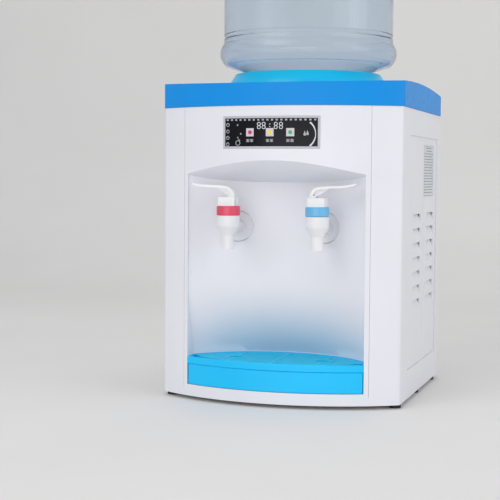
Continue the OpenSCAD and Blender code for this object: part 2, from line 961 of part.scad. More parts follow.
module drip_grid() {
    color([0.13, 0.62, 0.86])
    difference() {
        union() {
            translate([0, 0, grid_z])
                linear_extrude(grid_t)
                    difference() {
                        grid_plan(0);
                        intersection() {
                            grid_plan(grid_border);
                            difference() {
                                for (i = [0 : slot_rows - 1])
                                    translate([-half_w, slot_y0 + i * slot_pitch])
                                        square([body_w, slot_w]);
                                grid_bars();
                            }
                        }
                    }
            // raised border, ribs and rings
            translate([0, 0, grid_z + 0.1])
                linear_extrude(grid_t + rib_rise - 0.1) {
                    difference() {
                        grid_plan(0);
                        grid_plan(ring_w);
                    }
                    intersection() {
                        grid_plan(1);
                        for (x = [-tap_x, 0, tap_x])
                            translate([x - rib_w / 2, -body_d])
                                square([rib_w, body_d]);
                    }
                }
            for (side = [-1, 1])
                translate([side * tap_x, -cup_hole_y, 0])
                    ring(cup_ring_r, cup_ring_r - ring_w, grid_z + 0.2, grid_z + grid_t + ring_rise);
        }
        for (side = [-1, 1])
            translate([side * tap_x, -cup_hole_y, grid_z - over])
                cylinder(r = cup_hole_r, h = grid_t + 3 * over);
    }
}

// ---------------------------------------------------------------- taps

ring_top = ring_z + ring_h;
cap_top = ring_top + cap_h;
taper_z = 204.5;
taper_h = 13;
chamber_r = 7;
seat_z = 210.5;
spout_bore_r = 4.6;
shank_bore_r = 2.2;
barrel_neck_r = 11.5;
barrel_neck_h = 4;
plug_r = barrel_neck_r;
pin_x = 5;
pin_z = cap_top - 6.3;
pin_r = 1.2;
nose_r = 1.6;
cheek_half = 4.2;
fork_half = 2.4;
stem_r = 1.8;
stem_head_r = 2.6;
stem_head_h = 1.4;
nose_gap = 0.3;
seal_r = 5.8;
root_in = -9;
root_out = -4.6;
arm_z = cap_top + 11.3;
// Flange in front of the boss, thread behind it and the tail that takes the hose
flange_t = 2;
flange_w = 1.5;
thread_l = 12;
tail_l = 30;
washer_t = 1.5;
nut_t = 6;
nut_r = 13;

// Puts a tap part in place; the lever of a tap points towards +X before mirroring
module tap_place(side) {
    translate([side * tap_x, -tap_y, 0])
        mirror([side < 0 ? 1 : 0, 0, 0])
            children();
}

module tap_body() {
    difference() {
        union() {
            translate([0, 0, spout_z])
                cylinder(r = spout_r, h = taper_z - spout_z + 1);
            translate([0, 0, taper_z])
                cylinder(r1 = spout_r, r2 = barrel_r, h = taper_h);
            translate([0, 0, taper_z + taper_h])
                cylinder(r = barrel_r, h = ring_z - seam - taper_z - taper_h);
            translate([0, 0, ring_z - over])
                cylinder(r = barrel_neck_r, h = barrel_neck_h + over);
            y_cylinder(0, 0, shank_z, shank_r, tap_y - boss_back + thread_l);
            y_cylinder(0, tap_y - boss_face - flange_t, shank_z, shank_r + flange_w, flange_t - fit_gap);
            y_cylinder(0, tap_y - boss_back, shank_z, nipple_r, tail_l);
        }
        translate([0, 0, spout_z - over])
            cylinder(r = spout_bore_r, h = seat_z - spout_z + 2 * over);
        translate([0, 0, seat_z])
            cylinder(r = chamber_r, h = ring_z + barrel_neck_h - seat_z + over);
        y_cylinder(0, 0, shank_z, shank_bore_r, tap_y);
    }
}

module tap_ring() {
    translate([0, 0, ring_z]) {
        difference() {
            union() {
                cylinder(r = barrel_r - 0.1, h = 1);
                translate([0, 0, 0.6])
                    cylinder(r = barrel_r + 0.3, h = ring_h - 1.6);
                translate([0, 0, ring_h - 1])
                    cylinder(r1 = barrel_r + 0.3, r2 = barrel_r - 0.7, h = 1);
            }
            translate([0, 0, -over])
                cylinder(r = barrel_neck_r + fit_gap, h = ring_h + 2 * over);
        }
    }
}

cap_round = 2.5;
cap_depth = 20;
// The pin hole is blind: it stops this far behind the front of the cap
pin_cover = 2;
relief_in = 1.6;
relief_w = 3;
relief_deep = 5;

module cap_outline(w, d, r) {
    polygon(concat(
        arc(w / 2 - r, d / 2 - r, r, 0, 90, 6),
        arc(r - w / 2, d / 2 - r, r, 90, 180, 6),
        arc(r - w / 2, r - d / 2, r, 180, 270, 6),
        arc(w / 2 - r, r - d / 2, r, 270, 360, 6)
    ));
}

module tap_cap() {
    difference() {
        union() {
            translate([0, 0, ring_top + fit_gap])
                linear_extrude(cap_h - fit_gap - 0.8)
                    cap_outline(cap_w, cap_depth, cap_round);
            translate([0, 0, cap_top - 0.8 - 0.001])
                linear_extrude(0.8)
                    cap_outline(cap_w - 1.2, cap_depth - 1.2, cap_round - 0.6);
            translate([0, 0, ring_z + barrel_neck_h + fit_gap])
                cylinder(r = plug_r, h = ring_h - barrel_neck_h);
        }
        // room for the rocking end of the lever, open at the top
        translate([root_in - 0.7, -cheek_half - 0.4, pin_z - 3.4])
            cube([pin_x + 3.4 - root_in + 0.7, 2 * cheek_half + 0.8, 20]);
        // room for the stem and spring
        translate([0, 0, ring_z])
            cylinder(r = stem_r + 0.4, h = cap_top);
        translate([0, 0, ring_z + over])
            cylinder(r = chamber_r - 1, h = barrel_neck_h + 1.2);
        y_cylinder(pin_x, pin_cover - cap_depth / 2, pin_z, pin_r + pin_gap, cap_depth);
        // relief slot on the inner side
        translate([-cap_w, relief_in - cap_depth / 2, ring_top - over])
            cube([cap_w / 2 + relief_deep, relief_w, cap_h - 0.6]);
    }
}

root_top = cap_top + 2.5;
// Bend of the lever, then a shallow rise and the curl at its tip
bend_r = 10.8;
bend_x = 4;
bend_end_a = 95;
arm_x = bend_x + bend_r * cos(bend_end_a);
arm_rise = 1.3;
tip_rise = 3.8;

// Middle line of the lever in X and Z, from the cap to the tip
function lever_line(n) = concat(
    [[bend_x - bend_r, pin_z + 4.2]],
    arc(bend_x, arm_z - bend_r, bend_r, 180, bend_end_a, 9),
    [for (i = [1 : n])
        let (t = i / n)
        [arm_x + (lever_reach - arm_x) * t, arm_z + arm_rise * sin(min(3 * t, 1) * 90) + tip_rise * pow(t, 4)]]
);

// Plate that follows a line of points, half its thickness either side
module follow_line(p, t0, t1) {
    n = len(p);
    function dir(i) = let (a = p[max(i - 1, 0)], b = p[min(i + 1, n - 1)], d = b - a) d / norm(d);
    function half(i) = (t0 + (t1 - t0) * i / (n - 1)) / 2;
    polygon(concat(
        [for (i = [0 : n - 1]) p[i] + half(i) * [-dir(i)[1], dir(i)[0]]],
        [for (i = [n - 1 : -1 : 0]) p[i] - half(i) * [-dir(i)[1], dir(i)[0]]]
    ));
}

// Extrudes a shape drawn in X and Z by a width centred on the tap axis
module across(w) {
    translate([0, w / 2, 0])
        rotate([90, 0, 0])
            linear_extrude(w)
                children();
}

module lever() {
    difference() {
        union() {
            // arm
            intersection() {
                across(lever_w)
                    follow_line(lever_line(14), lever_t + 1, lever_t - 0.8);
                translate([0, 0, pin_z])
                    linear_extrude(60)
                        polygon([
                            [root_in - 2, -cheek_half],
                            [bend_x, -cheek_half],
                            [lever_reach * 0.6, -lever_w / 2],
                            [lever_reach - 3, -lever_w / 2],
                            [lever_reach, -lever_w / 2 + 4],
                            [lever_reach, lever_w / 2 - 4],
                            [lever_reach - 3, lever_w / 2],
                            [lever_reach * 0.6, lever_w / 2],
                            [bend_x, cheek_half],
                            [root_in - 2, cheek_half]
                        ]);
            }
            // root that comes down into the cap
            across(2 * cheek_half)
                polygon([
                    [root_in + 0.6, pin_z - 1.6],
                    [root_out, pin_z - 1.6],
                    [root_out, pin_z + 4.6],
                    [root_out + 2.6, pin_z + 5.4],
                    [root_out + 4, cap_top + 0.8],
                    [root_out + 4, root_top],
                    [root_in + 0.9, root_top],
                    [root_in, pin_z + 2]
                ]);
            // cheeks from the root to the pin
            across(2 * cheek_half)
                polygon([
                    [root_out - 0.5, pin_z - nose_r],
                    [pin_x, pin_z - nose_r],
                    [pin_x, pin_z + nose_r],
                    [root_out - 0.5, pin_z + nose_r]
                ]);
            translate([pin_x, 0, pin_z])
                rotate([90, 0, 0])
                    cylinder(r = 2.6, h = 2 * cheek_half, center = true);
            // web under the bend
            across(2.6)
                polygon([
                    [root_out + 1, cap_top + 0.6],
                    [root_out + 4, cap_top + 0.9],
                    [bend_x + 11, arm_z],
                    [bend_x, arm_z],
                    [root_out + 1, arm_z - 4]
                ]);
        }
        // fork round the stem
        translate([root_out + 0.9, -fork_half, pin_z - 4])
            cube([6.4, 2 * fork_half, 8]);
        translate([pin_x, 0, pin_z])
            rotate([90, 0, 0])
                cylinder(r = pin_r + pin_gap, h = 4 * cheek_half, center = true);
    }
}

module tap_stem() {
    translate([0, 0, seat_z + 3])
        cylinder(r = stem_r, h = pin_z - seat_z - 3 + 1);
    translate([0, 0, pin_z + nose_r + nose_gap])
        cylinder(r = stem_head_r, h = stem_head_h);
    translate([0, 0, pin_z + 0.5])
        cylinder(r = stem_r, h = nose_r + nose_gap + 0.2);
}

module tap_seal() {
    difference() {
        union() {
            translate([0, 0, seat_z + seam])
                cylinder(r = seal_r, h = 2.4);
            translate([0, 0, seat_z + seam + 2.3])
                cylinder(r1 = seal_r, r2 = stem_r + 1.6, h = 3.2);
        }
        translate([0, 0, seat_z + 3])
            cylinder(r = stem_r, h = 20);
    }
}

spring_z0 = seat_z + seam + 5.6;
spring_z1 = ring_z + barrel_neck_h + 0.2;
spring_r = 4.4;
wire_r = 0.45;
spring_turns = 6;

module tap_spring() {
    translate([0, 0, spring_z0])
        linear_extrude(spring_z1 - spring_z0, twist = -360 * spring_turns, slices = 96, $fn = 8)
            translate([spring_r, 0])
                circle(r = wire_r);
}

module tap_body_hot() {
    color([0.92, 0.92, 0.93])
    tap_place(-1)
        tap_body();
}

module tap_body_cold() {
    color([0.92, 0.92, 0.93])
    tap_place(1)
        tap_body();
}

module tap_ring_hot() {
    color([0.86, 0.24, 0.38])
    tap_place(-1)
        tap_ring();
}

module tap_ring_cold() {
    color([0.38, 0.7, 0.88])
    tap_place(1)
        tap_ring();
}

module tap_cap_hot() {
    color([0.94, 0.94, 0.95])
    tap_place(-1)
        tap_cap();
}

module tap_cap_cold() {
    color([0.94, 0.94, 0.95])
    tap_place(1)
        tap_cap();
}

module lever_hot() {
    color([0.94, 0.94, 0.96])
    tap_place(-1)
        lever();
}

module lever_cold() {
    color([0.94, 0.94, 0.96])
    tap_place(1)
        lever();
}

module lever_pins() {
    color([0.75, 0.75, 0.77])
    for (side = [-1, 1])
        tap_place(side)
            y_cylinder(pin_x, pin_cover - cap_depth / 2 + fit_gap, pin_z, pin_r, cap_depth - pin_cover - 0.5);
}

module tap_stem_hot() {
    color([0.8, 0.8, 0.82])
    tap_place(-1)
        tap_stem();
}

module tap_stem_cold() {
    color([0.8, 0.8, 0.82])
    tap_place(1)
        tap_stem();
}

module tap_seal_hot() {
    color([0.85, 0.85, 0.8])
    tap_place(-1)
        tap_seal();
}

module tap_seal_cold() {
    color([0.85, 0.85, 0.8])
    tap_place(1)
        tap_seal();
}

module tap_spring_hot() {
    color([0.7, 0.7, 0.72])
    tap_place(-1)
        tap_spring();
}

module tap_spring_cold() {
    color([0.7, 0.7, 0.72])
    tap_place(1)
        tap_spring();
}

module tap_washers() {
    color([0.12, 0.12, 0.12])
    for (side = [-1, 1])
        translate([side * tap_x, -boss_back, shank_z])
            rotate([-90, 0, 0])
                ring(nut_r, shank_r + fit_gap, 0, washer_t);
}

module tap_nuts() {
    color([0.9, 0.9, 0.9])
    for (side = [-1, 1])
        translate([side * tap_x, washer_t - boss_back, shank_z])
            rotate([-90, 0, 0])
                difference() {
                    cylinder(r = nut_r, h = nut_t, $fn = 6);
                    translate([0, 0, -over])
                        cylinder(r = shank_r + fit_gap, h = nut_t + 2 * over);
                }
}

// ---------------------------------------------------------------- water parts

reservoir_top = well_floor - collar_wall - 9;
reservoir_wall = 2.5;
nipple_r = hose_r - 1.6;
nipple_bore_r = hose_r - 2.8;
nipple_l = 10;
cold_out_y = 0;
tank_top = tank_z + tank_h;
tank_wall = 1.2;
feed_x = 0;
feed_y = tank_y - 20;
vent_x = 20;
hot_out_x = -24;

module nipple(x, y, z, up) {
    translate([x, y, up ? z : z - nipple_l])
        cylinder(r = nipple_r, h = nipple_l);
}

module nipple_bore(x, y, z) {
    translate([x, y, z - nipple_l - over])
        cylinder(r = nipple_bore_r, h = 2 * nipple_l + 2 * over);
}

module reservoir() {
    color([0.85, 0.9, 0.93])
    difference() {
        union() {
            translate([0, bottle_y, reservoir_z])
                cylinder(r = reservoir_r, h = reservoir_top - reservoir_z);
            nipple(tap_x, cold_out_y, reservoir_z, false);
            nipple(feed_x, feed_y, reservoir_z, false);
            nipple(vent_x, feed_y, reservoir_z, false);
        }
        translate([0, bottle_y, reservoir_z + reservoir_wall])
            cylinder(r = reservoir_r - reservoir_wall, h = reservoir_top);
        nipple_bore(tap_x, cold_out_y, reservoir_z);
        nipple_bore(feed_x, feed_y, reservoir_z);
        nipple_bore(vent_x, feed_y, reservoir_z);
    }
}

module reservoir_lid() {
    color([0.88, 0.9, 0.92])
    translate([0, bottle_y, 0]) {
        ring(reservoir_r + 1, probe_r + fit_gap, reservoir_top + fit_gap, reservoir_top + fit_gap + reservoir_wall);
        ring(reservoir_r - reservoir_wall - fit_gap, reservoir_r - 2 * reservoir_wall, reservoir_top - 5,
            reservoir_top + fit_gap + over);
    }
}

module hot_tank() {
    color([0.78, 0.78, 0.8])
    difference() {
        union() {
            translate([0, tank_y, tank_z])
                cylinder(r = tank_r, h = tank_h);
            nipple(feed_x, feed_y, tank_top, true);
            nipple(vent_x, feed_y, tank_top, true);
            nipple(hot_out_x, tank_y, tank_top, true);
            nipple(0, tank_y, tank_z, false);
        }
        translate([0, tank_y, tank_z + tank_wall])
            cylinder(r = tank_r - tank_wall, h = tank_h - 2 * tank_wall);
        nipple_bore(feed_x, feed_y, tank_top);
        nipple_bore(vent_x, feed_y, tank_top);
        nipple_bore(hot_out_x, tank_y, tank_top);
        nipple_bore(0, tank_y, tank_z);
    }
}

band_t = 3;
foam_t = 9;

module heater_band() {
    color([0.55, 0.45, 0.35])
    translate([0, tank_y, 0]) {
        ring(tank_r + fit_gap + band_t, tank_r + fit_gap, tank_z + 18, tank_z + tank_h / 2);
        translate([tank_r + fit_gap + 1, -6, tank_z + tank_h / 2 - 8])
            cube([band_t + 1, 12, 7]);
    }
}

module tank_insulation() {
    color([0.9, 0.9, 0.86])
    translate([0, tank_y, 0])
        ring(tank_r + band_t + foam_t, tank_r + band_t + 2.6, tank_z + 4, tank_top - 4);
}

module thermostats() {
    color([0.2, 0.2, 0.22])
    for (x = [-1, 1])
        translate([x * 16, tank_y + 24, tank_top + fit_gap]) {
            cylinder(r = 8, h = 6);
            cylinder(r = 5, h = 10);
        }
}

bracket_t = 1.5;
bracket_half = 52;
bracket_foot = 12;

module at_bracket_feet() {
    for (x = [-1, 1])
        for (y = [-1, 1])
            translate([x * (bracket_half + bracket_foot / 2), tank_y + y * 30, 0])
                children();
}

module tank_bracket() {
    z0 = foot_h + base_floor_t;
    color([0.72, 0.73, 0.75])
    difference() {
        union() {
            translate([-bracket_half, tank_y - 40, tank_z - bracket_t - fit_gap])
                cube([2 * bracket_half, 80, bracket_t]);
            for (x = [-1, 1]) {
                translate([x * (bracket_half - bracket_t / 2) - bracket_t / 2, tank_y - 40, z0])
                    cube([bracket_t, 80, tank_z - fit_gap - z0]);
                translate([x * (bracket_half + bracket_foot / 2 - bracket_t / 2) - (bracket_foot + bracket_t) / 2,
                    tank_y - 40, z0])
                    cube([bracket_foot + bracket_t, 80, bracket_t]);
            }
        }
        translate([0, tank_y, 0])
            cylinder(r = nipple_r + 4, h = tank_z);
        at_bracket_feet()
            translate([0, 0, foot_h])
                cylinder(r = screw_shank_r + fit_gap, h = base_h);
    }
}

module bracket_screws() {
    color([0.7, 0.7, 0.72])
    at_bracket_feet() {
        translate([0, 0, foot_h + base_floor_t + bracket_t + 0.02])
            cylinder(r = screw_head_r, h = screw_head_h);
        translate([0, 0, foot_h + 0.5])
            cylinder(r = screw_shank_r, h = base_floor_t + bracket_t);
    }
}

barb_y = -boss_back + 16;
cold_bend_r = 14;

// Cold hose: back from the tap, then up to the reservoir
module cold_path(r, extra) {
    y_cylinder(tap_x, barb_y - extra, shank_z, r, cold_out_y - cold_bend_r - barb_y + extra);
    translate([tap_x, cold_out_y - cold_bend_r, shank_z + cold_bend_r])
        rotate([0, 90, 0])
            rotate_extrude(angle = 90)
                translate([cold_bend_r, 0])
                    circle(r = r, $fn = 48);
    translate([tap_x, cold_out_y, shank_z + cold_bend_r])
        cylinder(r = r, h = reservoir_z - 1 - shank_z - cold_bend_r + extra);
}

module cold_hose() {
    color([0.8, 0.82, 0.85])
    difference() {
        cold_path(hose_r, 0);
        cold_path(nipple_r + fit_gap, over);
    }
}

hot_bend_r = 14;
hot_turn_y = tank_y;

// Hot hose: back from the tap, round to the tank and down onto its outlet
module hot_path(r, extra) {
    y_cylinder(-tap_x, barb_y - extra, shank_z, r, hot_turn_y - hot_bend_r - barb_y + extra);
    translate([-tap_x + hot_bend_r, hot_turn_y - hot_bend_r, shank_z])
        rotate([0, 0, 90])
            rotate_extrude(angle = 90)
                translate([hot_bend_r, 0])
                    circle(r = r, $fn = 48);
    translate([-tap_x + hot_bend_r, hot_turn_y, shank_z])
        rotate([0, 90, 0])
            cylinder(r = r, h = hot_out_x - hot_bend_r + tap_x - hot_bend_r);
    translate([hot_out_x - hot_bend_r, hot_turn_y, shank_z - hot_bend_r])
        rotate([90, 0, 0])
            rotate_extrude(angle = 90)
                translate([hot_bend_r, 0])
                    circle(r = r, $fn = 48);
    translate([hot_out_x, hot_turn_y, tank_top + 1 - extra])
        cylinder(r = r, h = shank_z - hot_bend_r - tank_top - 1 + extra);
}

module hot_hose() {
    color([0.8, 0.78, 0.76])
    difference() {
        hot_path(hose_r, 0);
        hot_path(nipple_r + fit_gap, over);
    }
}

module tank_hoses() {
    color([0.8, 0.8, 0.8])
    for (x = [feed_x, vent_x])
        translate([x, feed_y, 0])
            ring(hose_r, nipple_r + fit_gap, tank_top + 1, reservoir_z - 1);
}

drain_bend_r = 14;

module drain_path(r, extra) {
    translate([0, tank_y, drain_z + drain_bend_r])
        cylinder(r = r, h = tank_z - 4 - drain_z - drain_bend_r + extra);
    translate([0, tank_y + drain_bend_r, drain_z + drain_bend_r])
        rotate([0, 90, 0])
            rotate([0, 0, -90])
                rotate_extrude(angle = 90)
                    translate([drain_bend_r, 0])
                        circle(r = r, $fn = 48);
    y_cylinder(0, tank_y + drain_bend_r, drain_z, r, pocket_y - wall - 6 - tank_y - drain_bend_r + extra);
}

module drain_hose() {
    color([0.8, 0.8, 0.8])
    difference() {
        drain_path(hose_r, 0);
        drain_path(nipple_r + fit_gap, over);
    }
}

// The drain sits in a round pocket so that its cap ends flush with the back
pocket_r = 16;
pocket_d = 18;
pocket_y = half_d - pocket_d;
spigot_tip_r = 7;
spigot_tip_y = half_d - 5;
drain_cap_r = 10.5;
cap_y = pocket_y + 3.5;
cap_grips = 12;

module drain_spigot() {
    color([0.9, 0.91, 0.93])
    difference() {
        union() {
            y_cylinder(0, pocket_y - wall - 3, drain_z, spigot_r + 3, 3 - 0.02);
            y_cylinder(0, pocket_y - wall - 1, drain_z, spigot_r, wall + 3);
            y_cylinder(0, pocket_y, drain_z, spigot_tip_r, spigot_tip_y - pocket_y);
            y_cylinder(0, pocket_y - wall - 18, drain_z, nipple_r, 18);
        }
        y_cylinder(0, pocket_y - wall - 20, drain_z, nipple_bore_r, half_d);
    }
}

module drain_cap() {
    color([0.1, 0.5, 0.8])
    difference() {
        y_cylinder(0, cap_y, drain_z, drain_cap_r, half_d - cap_y);
        y_cylinder(0, cap_y - over, drain_z, spigot_tip_r + slide_gap, spigot_tip_y - cap_y + slide_gap + over);
        for (i = [0 : cap_grips - 1])
            translate([0, 0, drain_z])
                rotate([0, i * 360 / cap_grips, 0])
                    y_cylinder(drain_cap_r + 0.6, cap_y - over, 0, 1.4, half_d);
    }
}

// ---------------------------------------------------------------- electrics

rocker_w = switch_w - 5;
rocker_h = switch_h - 6;
rocker_y = panel_y - 1;
// The rocker face is two flats that meet at a shallow angle over the pivot
rocker_face = 1.5;
rocker_v = rocker_swing / 2;
axle_r = 1.4;
axle_gap = 0.05;
switch_d = 16;

module switch_housing() {
    color([0.05, 0.05, 0.05])
    difference() {
        translate([switch_x - switch_w / 2, panel_y - switch_d, switch_z - switch_h / 2])
            cube([switch_w, switch_d + wall, switch_h]);
        translate([switch_x - rocker_w / 2 - slide_gap, rocker_y - rocker_h / 2, switch_z - rocker_h / 2 - slide_gap])
            cube([rocker_w + 2 * slide_gap, rocker_h, rocker_h + 2 * slide_gap]);
        translate([switch_x, rocker_y, switch_z])
            rotate([0, 90, 0])
                cylinder(r = axle_r + axle_gap, h = switch_w - 2, center = true);
    }
}

module switch_rocker() {
    reach = rocker_h / 2;
    lean = reach * tan(rocker_v);
    color([0.75, 0.1, 0.1])
    translate([switch_x, rocker_y, switch_z]) {
        translate([-rocker_w / 2, 0, 0])
            rotate([90, 0, 90])
                linear_extrude(rocker_w)
                    rotate(-rocker_v)
                        intersection() {
                            circle(r = reach, $fn = 64);
                            polygon([
                                [-4, -reach],
                                [rocker_face + lean, -reach],
                                [rocker_face, 0],
                                [rocker_face + lean, reach],
                                [-4, reach]
                            ]);
                        }
        rotate([0, 90, 0])
            cylinder(r = axle_r, h = switch_w - 3, center = true);
    }
}

module cable_gland() {
    color([0.08, 0.08, 0.09])
    difference() {
        union() {
            y_cylinder(gland_x, panel_y - gland_l + wall, gland_z, gland_r, gland_l);
            y_cylinder(gland_x, panel_y - 3, gland_z, gland_r + 2, 3 - 0.02);
        }
        y_cylinder(gland_x, panel_y - gland_l, gland_z, gland_bore_r, 2 * gland_l);
    }
}

block_w = 36;
block_d = 16;
block_y = panel_y - 38;

module terminal_block() {
    color([0.85, 0.85, 0.82])
    difference() {
        translate([gland_x - block_w / 2, block_y - block_d / 2, foot_h + base_floor_t + 0.02])
            cube([block_w, block_d, 14]);
        for (i = [-1 : 1])
            translate([gland_x + i * 11, block_y, foot_h + base_floor_t + 5])
                cylinder(r = 2.5, h = 20);
    }
}

base_pan();
rubber_feet();
base_screws();
front_panel();
side_shell_right();
side_shell_left();
rear_panel();
rear_screws();
rating_label();
top_lid();
bottle_collar();
feed_probe();
bottle();
bottle_cap();
display_bezel();
display_window();
light_red();
light_yellow();
light_green();
display_board();
digit_display();
drip_tray();
drip_grid();
tap_body_hot();
tap_body_cold();
tap_ring_hot();
tap_ring_cold();
tap_cap_hot();
tap_cap_cold();
lever_hot();
lever_cold();
lever_pins();
tap_stem_hot();
tap_stem_cold();
tap_seal_hot();
tap_seal_cold();
tap_spring_hot();
tap_spring_cold();
tap_washers();
tap_nuts();
reservoir();
reservoir_lid();
hot_tank();
heater_band();
tank_insulation();
thermostats();
tank_bracket();
bracket_screws();
cold_hose();
hot_hose();
tank_hoses();
drain_hose();
drain_spigot();
drain_cap();
switch_housing();
switch_rocker();
cable_gland();
terminal_block();
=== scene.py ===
import math
import random

import bpy
from mathutils import Matrix, Vector


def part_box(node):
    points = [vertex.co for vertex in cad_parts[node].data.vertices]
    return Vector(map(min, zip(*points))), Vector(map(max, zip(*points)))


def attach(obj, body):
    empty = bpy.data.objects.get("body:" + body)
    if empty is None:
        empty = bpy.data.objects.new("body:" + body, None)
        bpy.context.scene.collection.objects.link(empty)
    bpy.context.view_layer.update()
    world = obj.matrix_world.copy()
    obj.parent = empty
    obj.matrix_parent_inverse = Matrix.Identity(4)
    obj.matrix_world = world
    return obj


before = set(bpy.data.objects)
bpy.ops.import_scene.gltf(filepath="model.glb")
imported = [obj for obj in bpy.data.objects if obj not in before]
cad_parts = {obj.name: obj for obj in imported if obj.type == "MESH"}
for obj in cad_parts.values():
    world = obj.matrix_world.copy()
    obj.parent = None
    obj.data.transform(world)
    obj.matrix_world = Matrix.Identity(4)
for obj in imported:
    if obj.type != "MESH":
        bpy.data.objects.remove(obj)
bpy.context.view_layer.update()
random.seed(7)

MM = 0.001
TOUCH = 0.00002

# ------------------------------------------------------------------ sizes read from the frame

shell_low, shell_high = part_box("side_shell_right")
window_low, window_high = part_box("display_window")
panel_low, panel_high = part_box("front_panel")
label_low, label_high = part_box("rating_label")
lid_low, lid_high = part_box("top_lid")
bottle_low, bottle_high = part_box("bottle")

BOW_RISE = 46.7 * MM
half_w = shell_high.x
half_d = -panel_low.y
bow_r = (half_w * half_w + BOW_RISE * BOW_RISE) / (2 * BOW_RISE)
bow_cy = bow_r - half_d
window_r = bow_cy - window_low.y
window_z = (window_low.z + window_high.z) / 2


# ------------------------------------------------------------------ material helpers


def new_material(name):
    m = bpy.data.materials.new(name)
    m.use_nodes = True
    tree = m.node_tree
    return m, tree, tree.nodes["Principled BSDF"]


def set_inputs(node, **values):
    for key, value in values.items():
        node.inputs[key.replace("_", " ")].default_value = value


def object_coords(tree, scale=(1, 1, 1)):
    coords = tree.nodes.new("ShaderNodeTexCoord")
    mapping = tree.nodes.new("ShaderNodeMapping")
    mapping.inputs["Scale"].default_value = scale
    tree.links.new(coords.outputs["Object"], mapping.inputs["Vector"])
    return mapping.outputs["Vector"]


def noise(tree, vector, scale, detail=3.0, rough=0.5):
    n = tree.nodes.new("ShaderNodeTexNoise")
    n.inputs["Scale"].default_value = scale
    n.inputs["Detail"].default_value = detail
    n.inputs["Roughness"].default_value = rough
    tree.links.new(vector, n.inputs["Vector"])
    return n.outputs["Fac"]


def ramp(tree, fac, stops):
    r = tree.nodes.new("ShaderNodeValToRGB")
    elements = r.color_ramp.elements
    elements[0].position = stops[0][0]
    elements[0].color = (*stops[0][1], 1)
    elements[1].position = stops[-1][0]
    elements[1].color = (*stops[-1][1], 1)
    for place, colour in stops[1:-1]:
        e = elements.new(place)
        e.color = (*colour, 1)
    tree.links.new(fac, r.inputs["Fac"])
    return r.outputs["Color"]


def map_range(tree, fac, low, high, from_low=0.0, from_high=1.0):
    r = tree.nodes.new("ShaderNodeMapRange")
    r.inputs["From Min"].default_value = from_low
    r.inputs["From Max"].default_value = from_high
    r.inputs["To Min"].default_value = low
    r.inputs["To Max"].default_value = high
    tree.links.new(fac, r.inputs["Value"])
    return r.outputs["Result"]


def bump(tree, shader, height, distance, strength=1.0):
    b = tree.nodes.new("ShaderNodeBump")
    b.inputs["Strength"].default_value = strength
    b.inputs["Distance"].default_value = distance
    tree.links.new(height, b.inputs["Height"])
    tree.links.new(b.outputs["Normal"], shader.inputs["Normal"])


def shade(colour, factor):
    return tuple(min(1.0, c * factor) for c in colour)


def plastic(name, colour, rough, grain=0.00001, grain_scale=2600, mottle=0.03, coat=0.0, spec=0.5):
    """Moulded plastic: slow tone drift, fine moulding grain and uneven gloss."""
    m, tree, shader = new_material(name)
    vector = object_coords(tree)
    drift = noise(tree, vector, 14, 2.0)
    tone = ramp(tree, drift, [(0.3, shade(colour, 1 - mottle)), (0.7, shade(colour, 1 + mottle))])
    tree.links.new(tone, shader.inputs["Base Color"])
    gloss = noise(tree, vector, 160, 4.0)
    tree.links.new(map_range(tree, gloss, rough * 0.85, rough * 1.15, 0.3, 0.7), shader.inputs["Roughness"])
    bump(tree, shader, noise(tree, vector, grain_scale, 2.0), grain)
    shader.inputs["Coat Weight"].default_value = coat
    shader.inputs["Specular IOR Level"].default_value = spec
    return m


def metal(name, colour, rough, stretch=(1, 1, 30)):
    """Metal with fine drawn lines along one direction."""
    m, tree, shader = new_material(name)
    vector = object_coords(tree, stretch)
    lines = noise(tree, vector, 420, 4.0, 0.6)
    tone = ramp(tree, lines, [(0.3, shade(colour, 0.86)), (0.7, shade(colour, 1.06))])
    tree.links.new(tone, shader.inputs["Base Color"])
    tree.links.new(map_range(tree, lines, rough * 0.8, rough * 1.3), shader.inputs["Roughness"])
    bump(tree, shader, lines, 0.00002)
    shader.inputs["Metallic"].default_value = 1.0
    return m


def clear_bottle():
    """Pale blue clear plastic, a little wavy as blown bottles are."""
    m, tree, shader = new_material("clear bottle")
    vector = object_coords(tree)
    drift = noise(tree, vector, 9, 2.0)
    tone = ramp(tree, drift, [(0.3, (0.86, 0.92, 0.95)), (0.7, (0.89, 0.94, 0.97))])
    tree.links.new(tone, shader.inputs["Base Color"])
    inside = tree.nodes.new("ShaderNodeVolumeAbsorption")
    inside.inputs["Color"].default_value = (0.05, 0.30, 0.80, 1)
    inside.inputs["Density"].default_value = 60
    tree.links.new(inside.outputs["Volume"], tree.nodes["Material Output"].inputs["Volume"])
    tree.links.new(map_range(tree, noise(tree, vector, 40, 3.0), 0.06, 0.12), shader.inputs["Roughness"])
    bump(tree, shader, noise(tree, vector, 22, 1.0), 0.0002, 0.5)
    shader.inputs["Transmission Weight"].default_value = 1.0
    shader.inputs["Specular IOR Level"].default_value = 0.3
    shader.inputs["IOR"].default_value = 1.30
    return m


